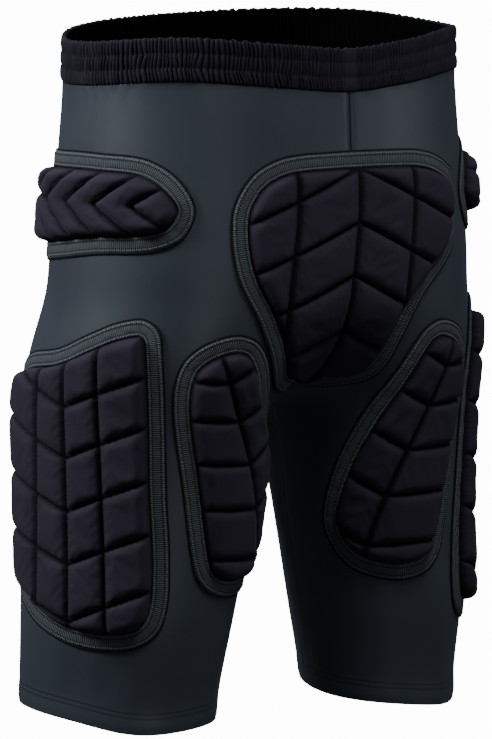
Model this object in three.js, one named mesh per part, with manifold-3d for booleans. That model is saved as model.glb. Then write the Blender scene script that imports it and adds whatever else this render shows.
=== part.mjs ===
// Padded protective shorts for sport, in the shape they take when worn.
// Millimetres, +Z up. The front faces -Y and the wearer's left side is +X.
// The origin is on the waist's axis, at mid-height of the waistband.
import * as THREE from 'three';
import Module from 'manifold-3d';

const wasm = await Module();
wasm.setup();

// Driving dimensions of the knitted shell
const SHELL_WALL = 2;
const SEAM_GAP = 0.3;
const RIM_GAP = 0.6;
const TRIM_GAP = 1;
const HEM_Z = -475.5;
const HEM_TILT = 7;
const HEM_DROP = 5;
const HEM_DROP_ANGLE = -70;
const HEM_DROP_SPREAD = 35;

// Outline of the hips at each height: half width, and depth in front of and behind the waist's axis.
const HIPS = [
  { z: -520, halfWidth: 168, front: 100, back: 128 },
  { z: -260, halfWidth: 168, front: 100, back: 128 },
  { z: -220, halfWidth: 168, front: 108, back: 130 },
  { z: -180, halfWidth: 166, front: 116, back: 128 },
  { z: -145, halfWidth: 164, front: 119, back: 124 },
  { z: -100, halfWidth: 160, front: 118, back: 121 },
  { z: -60, halfWidth: 157, front: 115, back: 117 },
  { z: -20, halfWidth: 154, front: 113, back: 114 },
  { z: 20, halfWidth: 153, front: 112, back: 112 },
];
const FRONT_SQUARENESS = 2.35;
const BACK_SQUARENESS = 2;
const HIPS_SCALE = 140;

// Outline of the left leg at each height: the centre, the half axes of its oval and the oval's turn in degrees.
const LEG = [
  { z: -520, x: 121, y: 9, halfX: 56, halfY: 74, turn: -30 },
  { z: -500, x: 121, y: 9, halfX: 56, halfY: 74, turn: -30 },
  { z: -475, x: 119.5, y: 9, halfX: 57, halfY: 75, turn: -30 },
  { z: -405, x: 113.5, y: 5, halfX: 65, halfY: 81, turn: -28 },
  { z: -350, x: 107, y: 5, halfX: 68, halfY: 87, turn: -25 },
  { z: -300, x: 102, y: 5, halfX: 72, halfY: 91, turn: -21 },
  { z: -250, x: 97, y: 5, halfX: 77, halfY: 97, turn: -16 },
  { z: -200, x: 90, y: 4, halfX: 86, halfY: 108, turn: -9 },
  { z: -120, x: 84, y: 2, halfX: 90, halfY: 114, turn: 0 },
  { z: 20, x: 84, y: 2, halfX: 88, halfY: 112, turn: 0 },
];

// The legs turn into the hips between these heights, and the valley between them is rounded.
const CROTCH_BLEND = { low: -262, high: -160 };
const VALLEY_FILL = 34;

// Waistband: an elastic casing of three gathered rows, whose rim rises and dips round the waist.
// The angle is measured round the waist from the centre front, positive to the wearer's left.
const BAND_HEIGHT = 32;
const BAND_COLUMNS = 72;
const BAND_ROWS = 3;
const BAND_INSIDE = -2;
const BAND_EDGE = 0.9;
const BAND_SEAM = 1.5;
const BAND_PUFF = 3;
const GATHER_DEPTH = 1.2;
const BAND_RISE = [
  { angle: -180, rise: 6 },
  { angle: -150, rise: 4.5 },
  { angle: -130, rise: 2.5 },
  { angle: -105, rise: -1 },
  { angle: -90, rise: 0 },
  { angle: -45, rise: 6 },
  { angle: -20, rise: 0 },
  { angle: 0, rise: -5 },
  { angle: 20, rise: -2 },
  { angle: 45, rise: 3 },
  { angle: 65, rise: 1 },
  { angle: 90, rise: 2 },
  { angle: 120, rise: 6.5 },
  { angle: 150, rise: 7 },
  { angle: 180, rise: 6 },
];

// Bindings: flat tapes sewn round each pad
const BINDING_WIDTH = 13;
const BINDING_THICKNESS = 2;
const BINDING_SEAT = 1;
const BINDING_STEPS = 28;

// Pads: foam cells between sewn grooves. Each base stands high enough to clear the flat faces of the shell
// under it, also in the middle of its own wide faces.
const GROOVE_DEPTH = 5;
const CELL_INSET = 5.5;
const PAD_RIM_HEIGHT = 5.5;
const PAD_RIM_SLOPE = 6;

const HIP_PAD = {
  height: 14,
  outline: [
    [-17, -63], [-47, -66], [-61, -80], [-68, -102], [-63, -123], [-52, -132], [-18, -137],
    [18, -144], [48, -147], [64, -134], [70, -107], [63, -82], [46, -68], [16, -64],
  ],
  columns: [-34, 0, 28],
  split: 1,
  seat: 4,
  centreZ: -100,
  nodes: [-103, -82, -61, -40, -19.5, 1.5, 22.5, 43.5, 64.5, 85.5],
  slope: () => -1,
};

const THIGH_PAD = {
  height: 13,
  outline: [
    [2, -206], [-20, -193], [-37, -183], [-49, -181], [-56, -190], [-59, -212], [-64, -254],
    [-69, -313], [-74, -357], [-76, -394], [-72, -413], [-60, -423], [-37, -425], [-7, -419],
    [22, -403], [38, -384], [43, -350], [47, -300], [50, -250], [44, -222], [30, -213],
  ],
  columns: [-64, -28, 0, 27, 66],
  split: 1,
  seat: 3.6,
  nodes: [-478, -441, -404, -363, -324, -285, -248, -211, -174],
  slope: () => 0.42,
  centreLine: [{ z: -440, angle: -19 }, { z: -363, angle: -14 }, { z: -285, angle: -10.5 }, { z: -174, angle: -7 }],
};

const FRONT_THIGH_PAD = {
  height: 10,
  outline: [
    [-65, -228], [-67, -212], [-73, -201], [-81, -194.5], [-89, -192.5], [-97, -198], [-103.5, -211],
    [-110, -228], [-123, -256], [-138, -293], [-148, -326], [-151, -345], [-147, -364], [-138, -379],
    [-126, -386], [-112, -388.5], [-98, -383.5], [-89, -372], [-84, -354], [-80, -333], [-75, -303],
    [-69, -268], [-66, -246],
  ],
  columns: [-42, 0, 56],
  split: 2,
  seat: 2.5,
  nodes: [-430, -395, -360, -323, -289, -256, -227, -197, -165],
  slope: (across) => (across < 0 ? 0.5 : 0.05),
  centreLine: [
    { z: -430, angle: -142 }, { z: -370, angle: -130 }, { z: -318, angle: -116 },
    { z: -251, angle: -95 }, { z: -204, angle: -82 }, { z: -165, angle: -76 },
  ],
};

const GROIN_PAD = {
  height: 10,
  outline: [
    [0, -63], [35, -64], [64, -66], [89, -73], [105, -84], [111, -100], [110, -123], [99, -146],
    [85, -159], [69, -173], [60, -188], [54, -205], [50, -221], [43, -234], [27, -240], [0, -242],
    [-28, -241], [-49, -236], [-58, -224], [-65, -210], [-72, -197], [-79, -183], [-87, -169], [-94, -154],
    [-98, -136], [-99, -116], [-97, -101], [-90, -86], [-79, -74], [-62, -66], [-46, -63.5], [-24, -63],
  ],
  columns: [-97, -52, 0, 52, 103],
  split: 3,
  nodes: [-254, -238, -222, -190, -153, -115, -76, -40],
  slope: (across) => (across < 0 ? -0.42 : -0.45),
  seat: 3.8,
  bindingSeat: 1.8,
  centreLine: [{ z: -216, x: -5 }, { z: -160, x: -4.5 }, { z: -135, x: -2 }, { z: -112, x: 1 }, { z: -82, x: 2.5 }],
};

// Column value at a given key, by a smooth cubic through the table's rows.
function along(table, key, column, at) {
  const last = table.length - 1;
  const value = Math.min(Math.max(at, table[0][key]), table[last][key]);
  let i = 0;
  while (i < last - 1 && value > table[i + 1][key]) i += 1;
  const gap = (row) => table[row + 1][key] - table[row][key];
  const rate = (row) => (table[row + 1][column] - table[row][column]) / gap(row);
  const slope = (row) => {
    if (row === 0) return rate(0);
    if (row === last) return rate(last - 1);
    return (rate(row - 1) * gap(row) + rate(row) * gap(row - 1)) / (gap(row - 1) + gap(row));
  };
  const step = gap(i);
  const t = (value - table[i][key]) / step;
  const startPart = (2 * t - 3) * t * t + 1;
  const bend = ((t - 2) * t + 1) * t * slope(i) + (t - 1) * t * t * slope(i + 1);
  return table[i][column] * startPart + table[i + 1][column] * (1 - startPart) + bend * step;
}

function smooth(t) {
  const clamped = Math.min(Math.max(t, 0), 1);
  return clamped * clamped * (3 - 2 * clamped);
}

const sections = new Map();

// The outlines of hips and leg at one height.
function section(z) {
  const key = z.toFixed(4);
  if (!sections.has(key)) {
    const leg = {};
    for (const column of ['x', 'y', 'halfX', 'halfY', 'turn']) leg[column] = along(LEG, 'z', column, z);
    const hips = {};
    for (const column of ['halfWidth', 'front', 'back']) hips[column] = along(HIPS, 'z', column, z);
    const hipShare = smooth((z - CROTCH_BLEND.low) / (CROTCH_BLEND.high - CROTCH_BLEND.low));
    sections.set(key, { leg, hips, hipShare });
  }
  return sections.get(key);
}

// How far a point is outside the left leg as it turns into the hips, in about millimetres.
function sideField(x, y, { leg, hips, hipShare }) {
  const dx = x - leg.x;
  const dy = y - leg.y;
  const turned = Math.atan2(dy, dx) - THREE.MathUtils.degToRad(leg.turn);
  const reach = 1 / Math.hypot(Math.cos(turned) / leg.halfX, Math.sin(turned) / leg.halfY);
  const outsideLeg = Math.hypot(dx, dy) - reach;
  const depth = y > 0 ? hips.back : hips.front;
  const n = y > 0 ? BACK_SQUARENESS : FRONT_SQUARENESS;
  const sum = Math.abs(x / hips.halfWidth) ** n + Math.abs(y / depth) ** n;
  const outsideHips = (sum ** (1 / n) - 1) * HIPS_SCALE;
  return outsideLeg * (1 - hipShare) + outsideHips * hipShare;
}

// Negative inside the worn form, zero on its surface: both sides joined by a rounded valley.
function field(x, y, z) {
  const at = section(z);
  const left = sideField(x, y, at);
  const right = sideField(-x, y, at);
  const fill = VALLEY_FILL * (1 - at.hipShare) + 1e-6;
  const near = Math.max(fill - Math.abs(left - right), 0) / fill;
  return Math.min(left, right) - near * near * fill / 4;
}

const RAY_REACH = 320;
const RAY_STEPS = 30;

// Where a ray from inside leaves the worn form.
function leave(origin, direction, reach = RAY_REACH) {
  let inside = 0;
  let outside = reach;
  const point = new THREE.Vector3();
  for (let i = 0; i < RAY_STEPS; i += 1) {
    const middle = (inside + outside) / 2;
    point.copy(origin).addScaledVector(direction, middle);
    if (field(point.x, point.y, point.z) < 0) inside = middle;
    else outside = middle;
  }
  return point;
}

const NORMAL_STEP = 0.5;

function normalAt({ x, y, z }) {
  const d = NORMAL_STEP;
  return new THREE.Vector3(
    field(x + d, y, z) - field(x - d, y, z),
    field(x, y + d, z) - field(x, y - d, z),
    field(x, y, z + d) - field(x, y, z - d),
  ).normalize();
}

function raised(point, height) {
  return point.clone().addScaledVector(normalAt(point), height);
}

// Two ways of placing a point on the surface: by angle and height round the left leg, and straight from the front.
const roundLeg = {
  place(angle, z) {
    const { leg } = section(z);
    const turn = THREE.MathUtils.degToRad(angle);
    const direction = new THREE.Vector3(Math.cos(turn), Math.sin(turn), 0);
    const toMiddle = direction.x < 0 ? leg.x / -direction.x : RAY_REACH;
    return leave(new THREE.Vector3(leg.x, leg.y, z), direction, Math.min(toMiddle, RAY_REACH));
  },
  seat(point) {
    const { leg } = section(point.z);
    return this.place(THREE.MathUtils.radToDeg(Math.atan2(point.y - leg.y, point.x - leg.x)), point.z);
  },
};

const fromFront = {
  place(x, z) {
    return leave(new THREE.Vector3(x, 0, z), new THREE.Vector3(0, -1, 0));
  },
  seat(point) {
    return this.place(point.x, point.z);
  },
};

// Closed meshes from points and index triples
function flipIfInsideOut(points, faces) {
  let volume = 0;
  for (const [a, b, c] of faces) volume += points[a].dot(points[b].clone().cross(points[c]));
  if (volume < 0) for (const face of faces) face.reverse();
}

function toGeometry(points, faces) {
  flipIfInsideOut(points, faces);
  const geometry = new THREE.BufferGeometry().setFromPoints(points);
  geometry.setIndex(faces.flat());
  geometry.computeVertexNormals();
  return geometry;
}

// Joins two open or closed lines of equal length by pairs of triangles, split along the shorter diagonal.
function strip(points, faces, first, second, closed) {
  const count = closed ? first.length : first.length - 1;
  for (let i = 0; i < count; i += 1) {
    const j = (i + 1) % first.length;
    const [a, b, c, d] = [first[i], first[j], second[j], second[i]];
    const acIsShorter = points[a].distanceTo(points[c]) < points[b].distanceTo(points[d]);
    if (acIsShorter) faces.push([a, b, c], [a, c, d]);
    else faces.push([a, b, d], [b, c, d]);
  }
}

// Turns an open sheet into a closed wall: a copy of the sheet inside, and a strip round every free edge.
function wallOf(points, sheet, insidePoints) {
  const count = points.length;
  const faces = [...sheet];
  const edges = new Map();
  for (const [a, b, c] of sheet) {
    faces.push([c + count, b + count, a + count]);
    for (const [from, to] of [[a, b], [b, c], [c, a]]) {
      if (edges.has(`${to}-${from}`)) edges.delete(`${to}-${from}`);
      else edges.set(`${from}-${to}`, [from, to]);
    }
  }
  for (const [from, to] of edges.values()) {
    faces.push([to, from, from + count], [to, from + count, to + count]);
  }
  return { points: [...points, ...insidePoints], faces };
}

// Rise of the waistband's middle line at a place round the waist.
function bandRise(x, y) {
  const { hips } = section(0);
  const depth = y > 0 ? hips.back : hips.front;
  const angle = THREE.MathUtils.radToDeg(Math.atan2(x / hips.halfWidth, -y / depth));
  return along(BAND_RISE, 'angle', 'rise', angle);
}

// Mesh of one shell half: level lines over the hips, and shares of the way from the crotch to the hem.
const SHELL_COLUMNS = 30;
const CROTCH_COLUMNS = 4;
const HIP_LEVELS = [-52, -92, -132, -163, -188, -209, -225, -237];
const LEG_SHARES = [0.035, 0.09, 0.2, 0.36, 0.55, 0.77, 1];
const CROTCH_PIVOT_Z = -224;

function hemZ(angle) {
  const drop = Math.exp(-(((angle - HEM_DROP_ANGLE) / HEM_DROP_SPREAD) ** 2));
  return HEM_Z + HEM_TILT * Math.sin(THREE.MathUtils.degToRad(angle)) - HEM_DROP * drop;
}

// One half of the knitted shell, cut along the centre front and back seams.
// It is built as the wearer's left half, with the rim of the side that it is for.
function panel(side) {
  const seamX = SEAM_GAP / 2;
  const angleOf = (point) => {
    const { leg } = section(point.z);
    return THREE.MathUtils.radToDeg(Math.atan2(point.y - leg.y, point.x - leg.x));
  };
  const onSeam = (z, y, rise) => leave(new THREE.Vector3(seamX, 0, z), new THREE.Vector3(0, y, rise));
  const hipPoint = (t, z) => {
    const front = onSeam(z, -1, 0);
    const back = onSeam(z, 1, 0);
    if (t === 0) return front;
    if (t === 1) return back;
    return roundLeg.place(THREE.MathUtils.lerp(angleOf(front), angleOf(back), t), z);
  };
  const points = [];
  const add = (point) => points.push(point) - 1;
  const sheet = [];

  const columnShares = [...Array(SHELL_COLUMNS + 1).keys()].map((column) => column / SHELL_COLUMNS);
  let last = columnShares.map((t) => {
    const rim = hipPoint(t, -BAND_HEIGHT / 2);
    return add(hipPoint(t, bandRise(rim.x * side, rim.y) - BAND_HEIGHT / 2 - RIM_GAP));
  });
  for (const level of HIP_LEVELS) {
    const line = columnShares.map((t) => add(hipPoint(t, level)));
    strip(points, sheet, line, last, false);
    last = line;
  }

  const pivot = new THREE.Vector3(seamX, 0, CROTCH_PIVOT_Z);
  const seamTurn = (point) => Math.atan2(point.z - pivot.z, point.y);
  const backTurn = seamTurn(points[last[SHELL_COLUMNS]]);
  const frontTurn = seamTurn(points[last[0]]);
  for (let i = 1; i < CROTCH_COLUMNS; i += 1) {
    const turn = THREE.MathUtils.lerp(backTurn, frontTurn, i / CROTCH_COLUMNS);
    last.push(add(onSeam(pivot.z, Math.cos(turn), Math.sin(turn))));
  }
  const starts = last.map((index) => points[index]);
  const startAngles = starts.map(angleOf).map((angle, i) => (i > SHELL_COLUMNS && angle < 0 ? angle + 360 : angle));
  for (const share of LEG_SHARES) {
    const line = starts.map((start, i) => {
      const endAngle = startAngles[0] + (360 * i) / starts.length;
      const hem = hemZ(endAngle > 180 ? endAngle - 360 : endAngle);
      const angle = THREE.MathUtils.lerp(startAngles[i], endAngle, share);
      return add(roundLeg.place(angle, THREE.MathUtils.lerp(start.z, hem, share)));
    });
    strip(points, sheet, line, last, true);
    last = line;
  }

  const inside = points.map((point) => {
    const deep = raised(point, -SHELL_WALL);
    if (point.x < seamX + 0.01) deep.x = seamX;
    return deep;
  });
  return wallOf(points, sheet, inside);
}

// Gathered waistband: three puffed rows of ribs over a plain inner face, standing on the shell's rim.
function waistband() {
  const half = BAND_HEIGHT / 2;
  const rowHeight = BAND_HEIGHT / BAND_ROWS;
  const profile = [{ z: -half, out: BAND_EDGE, rib: 0 }];
  for (let row = 0; row < BAND_ROWS; row += 1) {
    profile.push({ z: -half + (row + 0.5) * rowHeight, out: BAND_PUFF, rib: GATHER_DEPTH });
    const isLast = row === BAND_ROWS - 1;
    profile.push({ z: -half + (row + 1) * rowHeight, out: isLast ? BAND_EDGE : BAND_SEAM, rib: 0 });
  }
  profile.push({ z: half, out: BAND_INSIDE, rib: 0 }, { z: -half, out: BAND_INSIDE, rib: 0 });
  const points = [];
  const lines = profile.map(({ z, out, rib }, level) => {
    const line = [];
    for (let column = 0; column < BAND_COLUMNS; column += 1) {
      const turn = (2 * Math.PI * column) / BAND_COLUMNS;
      const direction = new THREE.Vector3(Math.sin(turn), -Math.cos(turn), 0);
      const surface = leave(new THREE.Vector3(0, 0, z), direction);
      const point = raised(surface, out - rib * ((column + level) % 2));
      point.z = z + bandRise(surface.x, surface.y);
      line.push(points.push(point) - 1);
    }
    return line;
  });
  const faces = [];
  lines.forEach((line, level) => strip(points, faces, line, lines[(level + 1) % lines.length], true));
  return { points, faces };
}

// A pad's outline, evenly spaced on the surface.
function outlineLoop(chart, corners, steps) {
  const curve = new THREE.CatmullRomCurve3(corners.map(([a, z]) => chart.place(a, z)), true, 'centripetal');
  return curve.getSpacedPoints(steps).slice(0, steps).map((point) => chart.seat(point));
}

// The outline moved inwards along the surface.
function insetLoop(chart, loop, width) {
  const centre = loop.reduce((sum, point) => sum.add(point), new THREE.Vector3()).divideScalar(loop.length);
  let turn = 0;
  const inwards = loop.map((point, i) => {
    const next = loop[(i + 1) % loop.length];
    const previous = loop[(i + loop.length - 1) % loop.length];
    const tangent = next.clone().sub(previous).normalize();
    const direction = normalAt(point).cross(tangent).normalize();
    turn += direction.dot(centre.clone().sub(point));
    return direction;
  });
  const sign = Math.sign(turn);
  return loop.map((point, i) => chart.seat(point.clone().addScaledVector(inwards[i], sign * width)));
}

// A flat tape round a pad: four lines along the outline, joined into a closed ring.
function binding(chart, pad) {
  const outer = outlineLoop(chart, pad.outline, BINDING_STEPS);
  const inner = insetLoop(chart, outer, BINDING_WIDTH);
  const low = pad.bindingSeat ?? BINDING_SEAT;
  const high = low + BINDING_THICKNESS;
  const points = [];
  const faces = [];
  const lines = [[outer, low], [outer, high], [inner, high], [inner, low]].map(([loop, height]) => (
    loop.map((point) => points.push(raised(point, height)) - 1)
  ));
  lines.forEach((line, i) => strip(points, faces, line, lines[(i + 1) % lines.length], true));
  return { points, faces };
}

// Foam cells between sewn lines. Columns run along the pad, and the lines across it are bent at its centre.
// Every cell is a raised face inside a groove, and the whole block reaches past the pad's outline.
function cellBlock(pad, place) {
  const columns = pad.columns.slice(1).map((end, i) => [pad.columns[i], end]);
  const stepsAcross = ([from, to], inset) => {
    const edges = [from + inset, to - inset];
    const steps = [...Array(pad.split + 1).keys()];
    return steps.map((i) => (i === 0 ? edges[0] : i === pad.split ? edges[1] : from + ((to - from) * i) / pad.split));
  };
  const across = columns.flatMap((column, i) => stepsAcross(column, 0).slice(i === 0 ? 0 : 1));
  const rowAt = (row, u) => pad.nodes[row] + pad.slope(u) * Math.abs(u);
  const points = [];
  const faces = [];
  const add = (u, v, height) => points.push(raised(place(u, v), height)) - 1;
  const grid = (height) => pad.nodes.map((node, row) => across.map((u) => add(u, rowAt(row, u), height)));
  const groove = grid(pad.height - GROOVE_DEPTH);
  const base = grid(pad.seat);
  for (let row = 0; row < pad.nodes.length - 1; row += 1) {
    strip(points, faces, base[row + 1], base[row], false);
    columns.forEach((column, i) => {
      const cellAcross = stepsAcross(column, CELL_INSET);
      const low = cellAcross.map((u) => add(u, rowAt(row, u) + CELL_INSET, pad.height));
      const high = cellAcross.map((u) => add(u, rowAt(row + 1, u) - CELL_INSET, pad.height));
      const first = i * pad.split;
      const under = groove[row].slice(first, first + pad.split + 1);
      const over = groove[row + 1].slice(first, first + pad.split + 1);
      strip(points, faces, low, high, false);
      strip(points, faces, [...under, ...over.slice().reverse()], [...low, ...high.slice().reverse()], true);
    });
  }
  const rim = (rows) => [
    ...rows[0].slice(0, -1),
    ...rows.slice(0, -1).map((row) => row[row.length - 1]),
    ...rows[rows.length - 1].slice(1).reverse(),
    ...rows.slice(1).reverse().map((row) => row[0]),
  ];
  strip(points, faces, rim(base), rim(groove), true);
  return { points, faces };
}

const CUTTER_ROOT = -4;
const CUTTER_TOP = 24;
const CUTTER_DEPTH = -30;
const CUTTER_PEAK = 90;

// A closed tent over the pad's outline, sloping in towards its top, that trims the cell block.
function cutter(chart, pad) {
  const outline = outlineLoop(chart, pad.outline, BINDING_STEPS);
  const root = insetLoop(chart, outline, BINDING_WIDTH + TRIM_GAP);
  const shoulder = insetLoop(chart, root, PAD_RIM_SLOPE);
  const points = [];
  const faces = [];
  const lines = [[root, CUTTER_ROOT], [root, PAD_RIM_HEIGHT], [shoulder, pad.height], [shoulder, CUTTER_TOP]].map(
    ([loop, height]) => loop.map((point) => points.push(raised(point, height)) - 1),
  );
  for (let i = 0; i < lines.length - 1; i += 1) strip(points, faces, lines[i], lines[i + 1], true);
  const middle = root.reduce((sum, point) => sum.add(point), new THREE.Vector3()).divideScalar(root.length);
  const centre = chart.seat(middle);
  const cap = (line, height) => {
    const tip = points.push(raised(centre, height)) - 1;
    const reversed = height < 0;
    line.forEach((a, i) => {
      const b = line[(i + 1) % line.length];
      faces.push(reversed ? [b, a, tip] : [a, b, tip]);
    });
  };
  cap(lines[0], CUTTER_DEPTH);
  cap(lines[lines.length - 1], CUTTER_PEAK);
  return { points, faces };
}

function toSolid({ points, faces }) {
  flipIfInsideOut(points, faces);
  const mesh = new wasm.Mesh({
    numProp: 3,
    vertProperties: new Float32Array(points.flatMap((point) => point.toArray())),
    triVerts: new Uint32Array(faces.flat()),
  });
  return new wasm.Manifold(mesh);
}

const TRIM_TOLERANCE = 0.5;

function trimmedPad(chart, pad, place) {
  const solid = toSolid(cellBlock(pad, place)).intersect(toSolid(cutter(chart, pad))).simplify(TRIM_TOLERANCE);
  const { numProp, vertProperties, triVerts } = solid.getMesh();
  const points = [];
  for (let i = 0; i < vertProperties.length; i += numProp) {
    points.push(new THREE.Vector3(vertProperties[i], vertProperties[i + 1], vertProperties[i + 2]));
  }
  const faces = [];
  for (let i = 0; i < triVerts.length; i += 3) faces.push([triVerts[i], triVerts[i + 1], triVerts[i + 2]]);
  return { points, faces };
}

// A place on a thigh pad: millimetres across from its centre line, and height.
function onThigh(pad) {
  return (across, z) => {
    const { leg } = section(z);
    const angle = along(pad.centreLine, 'z', 'angle', z);
    const middle = roundLeg.place(angle, z);
    const radius = Math.hypot(middle.x - leg.x, middle.y - leg.y);
    return roundLeg.place(angle + THREE.MathUtils.radToDeg(across / radius), z);
  };
}

// A place on a hip pad: millimetres above its centre line, and angle round the leg's axis.
function onHip(pad) {
  return (up, angle) => roundLeg.place(angle, pad.centreZ + up);
}

// A place on the groin pad: millimetres across from its centre line, and height.
function onGroin(pad) {
  return (across, z) => fromFront.place(across + along(pad.centreLine, 'z', 'x', z), z);
}

// Colours and finishes of the four fabrics
const FABRICS = {
  shell: new THREE.MeshStandardMaterial({ color: 0x3f4648, roughness: 0.62, metalness: 0 }),
  band: new THREE.MeshStandardMaterial({ color: 0x34353a, roughness: 0.85, metalness: 0 }),
  pad: new THREE.MeshStandardMaterial({ color: 0x2a282d, roughness: 0.9, metalness: 0 }),
  tape: new THREE.MeshStandardMaterial({ color: 0x4a4d50, roughness: 0.8, metalness: 0 }),
};

const group = new THREE.Group();

function addPiece(name, { points, faces }, fabric, side = 1) {
  const placed = points.map((point) => new THREE.Vector3(point.x * side, point.y, point.z));
  const mesh = new THREE.Mesh(toGeometry(placed, faces.map((face) => [...face])), FABRICS[fabric]);
  mesh.name = name;
  group.add(mesh);
}

const SIDES = { left: 1, right: -1 };

for (const [name, side] of Object.entries(SIDES)) addPiece(`${name}_panel`, panel(side), 'shell', side);
addPiece('waistband', waistband(), 'band');

addPiece('groin_pad', trimmedPad(fromFront, GROIN_PAD, onGroin(GROIN_PAD)), 'pad');
addPiece('groin_binding', binding(fromFront, GROIN_PAD), 'tape');

const SIDE_PADS = [
  { name: 'hip', pad: HIP_PAD, place: onHip(HIP_PAD) },
  { name: 'thigh', pad: THIGH_PAD, place: onThigh(THIGH_PAD) },
  { name: 'front_thigh', pad: FRONT_THIGH_PAD, place: onThigh(FRONT_THIGH_PAD) },
];
for (const { name, pad, place } of SIDE_PADS) {
  const cells = trimmedPad(roundLeg, pad, place);
  const tape = binding(roundLeg, pad);
  for (const [sideName, side] of Object.entries(SIDES)) {
    addPiece(`${sideName}_${name}_pad`, cells, 'pad', side);
    addPiece(`${sideName}_${name}_binding`, tape, 'tape', side);
  }
}

export default group;
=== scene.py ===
"""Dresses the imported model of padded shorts: knitted shell, gathered waistband, quilted pads and tapes."""
import math

import bpy
import numpy as np
from bpy.props import FloatProperty, FloatVectorProperty, IntProperty, PointerProperty
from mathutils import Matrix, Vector
from mathutils.geometry import delaunay_2d_cdt


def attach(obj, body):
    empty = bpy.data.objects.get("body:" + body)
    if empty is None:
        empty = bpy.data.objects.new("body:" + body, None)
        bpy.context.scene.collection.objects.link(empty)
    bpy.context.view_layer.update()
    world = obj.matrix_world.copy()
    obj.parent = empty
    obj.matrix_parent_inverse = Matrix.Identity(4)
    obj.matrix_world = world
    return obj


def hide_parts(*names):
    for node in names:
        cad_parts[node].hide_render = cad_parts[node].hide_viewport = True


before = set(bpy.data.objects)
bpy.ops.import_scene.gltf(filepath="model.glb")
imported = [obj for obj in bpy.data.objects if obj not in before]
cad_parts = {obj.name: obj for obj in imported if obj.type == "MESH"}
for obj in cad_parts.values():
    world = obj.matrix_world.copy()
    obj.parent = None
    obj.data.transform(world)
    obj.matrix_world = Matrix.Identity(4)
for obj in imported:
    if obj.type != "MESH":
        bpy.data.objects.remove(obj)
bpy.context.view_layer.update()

bl_info = {
    "name": "Padded shorts",
    "version": (1, 0, 0),
    "blender": (4, 5, 0),
    "location": "View3D > Sidebar > Shorts",
    "description": "Makes the fabric pieces of padded protective shorts",
    "category": "Object",
}

MM = 0.001
SEED = 11
TINY = 1e-6

# The worn form, in millimetres: the same outlines as the solids have.
# Hips: height, half width, depth in front of and behind the waist's axis
HIPS = np.array([
    (-520, 168, 100, 128), (-260, 168, 100, 128), (-220, 168, 108, 130), (-180, 166, 116, 128),
    (-145, 164, 119, 124), (-100, 160, 118, 121), (-60, 157, 115, 117), (-20, 154, 113, 114),
    (20, 153, 112, 112),
], float)
HALF_WIDTH, FRONT_DEPTH, BACK_DEPTH = 1, 2, 3
FRONT_SQUARENESS = 2.35
BACK_SQUARENESS = 2
HIPS_SCALE = 140

# Left leg: height, centre x and y, half axes of its oval, and the oval's turn in degrees
LEG = np.array([
    (-520, 121, 9, 56, 74, -30), (-500, 121, 9, 56, 74, -30), (-475, 119.5, 9, 57, 75, -30),
    (-405, 113.5, 5, 65, 81, -28), (-350, 107, 5, 68, 87, -25), (-300, 102, 5, 72, 91, -21),
    (-250, 97, 5, 77, 97, -16), (-200, 90, 4, 86, 108, -9), (-120, 84, 2, 90, 114, 0),
    (20, 84, 2, 88, 112, 0),
], float)
LEG_X, LEG_Y, LEG_HALF_X, LEG_HALF_Y, LEG_TURN = 1, 2, 3, 4, 5

CROTCH_LOW = -262
CROTCH_HIGH = -160
VALLEY_FILL = 34
RAY_REACH = 320
RAY_STEPS = 30

HEM_Z = -475.5
HEM_TILT = 7
HEM_DROP = 5
HEM_DROP_ANGLE = -70
HEM_DROP_SPREAD = 35

# Waistband: angle round the waist from the centre front, and rise of the band's middle line
BAND_HEIGHT = 32
BAND_RISE = np.array([
    (-180, 6), (-150, 4.5), (-130, 2.5), (-105, -1), (-90, 0), (-45, 6), (-20, 0), (0, -5),
    (20, -2), (45, 3), (65, 1), (90, 2), (120, 6.5), (150, 7), (180, 6),
], float)

# Bindings: widths, and where the sewn lines and the painted shade of the creases beside them lie across the
# tape
BINDING_WIDTH = 13
DARK_EDGE_WIDTH = 1.4
TAPE_SEAMS = (2.9, BINDING_WIDTH - 1.6)
CREASE_SHADE_PLACES = (4.2, BINDING_WIDTH - 3.0)
STITCHES_PER_RIB = 1.6
STITCH_LEAN = 1.1


def along(table, column, at):
    """A table's column at a key, by a smooth cubic through its rows."""
    knots, values = table[:, 0], table[:, column]
    at = np.clip(at, knots[0], knots[-1])
    i = np.clip(np.searchsorted(knots, at) - 1, 0, len(knots) - 2)
    slope = np.gradient(values, knots)
    step = knots[i + 1] - knots[i]
    t = (at - knots[i]) / step
    start_part = (2 * t - 3) * t * t + 1
    bend = ((t - 2) * t + 1) * t * slope[i] + (t - 1) * t * t * slope[i + 1]
    return values[i] * start_part + values[i + 1] * (1 - start_part) + bend * step


def smooth(t):
    """Zero to one with flat ends."""
    t = np.clip(t, 0, 1)
    return t * t * (3 - 2 * t)


def bump(distance, width):
    """A soft ridge of height one and the given half width."""
    return np.exp(-(distance / width) ** 2)


def side_field(x, y, z, hip_share):
    """How far points are outside the left leg as it turns into the hips."""
    dx, dy = x - along(LEG, LEG_X, z), y - along(LEG, LEG_Y, z)
    turned = np.arctan2(dy, dx) - np.radians(along(LEG, LEG_TURN, z))
    half_x, half_y = along(LEG, LEG_HALF_X, z), along(LEG, LEG_HALF_Y, z)
    reach = 1 / np.hypot(np.cos(turned) / half_x, np.sin(turned) / half_y)
    depth = np.where(y > 0, along(HIPS, BACK_DEPTH, z), along(HIPS, FRONT_DEPTH, z))
    n = np.where(y > 0, BACK_SQUARENESS, FRONT_SQUARENESS)
    total = np.abs(x / along(HIPS, HALF_WIDTH, z)) ** n + np.abs(y / depth) ** n
    outside_hips = (total ** (1 / n) - 1) * HIPS_SCALE
    return (np.hypot(dx, dy) - reach) * (1 - hip_share) + outside_hips * hip_share


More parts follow.
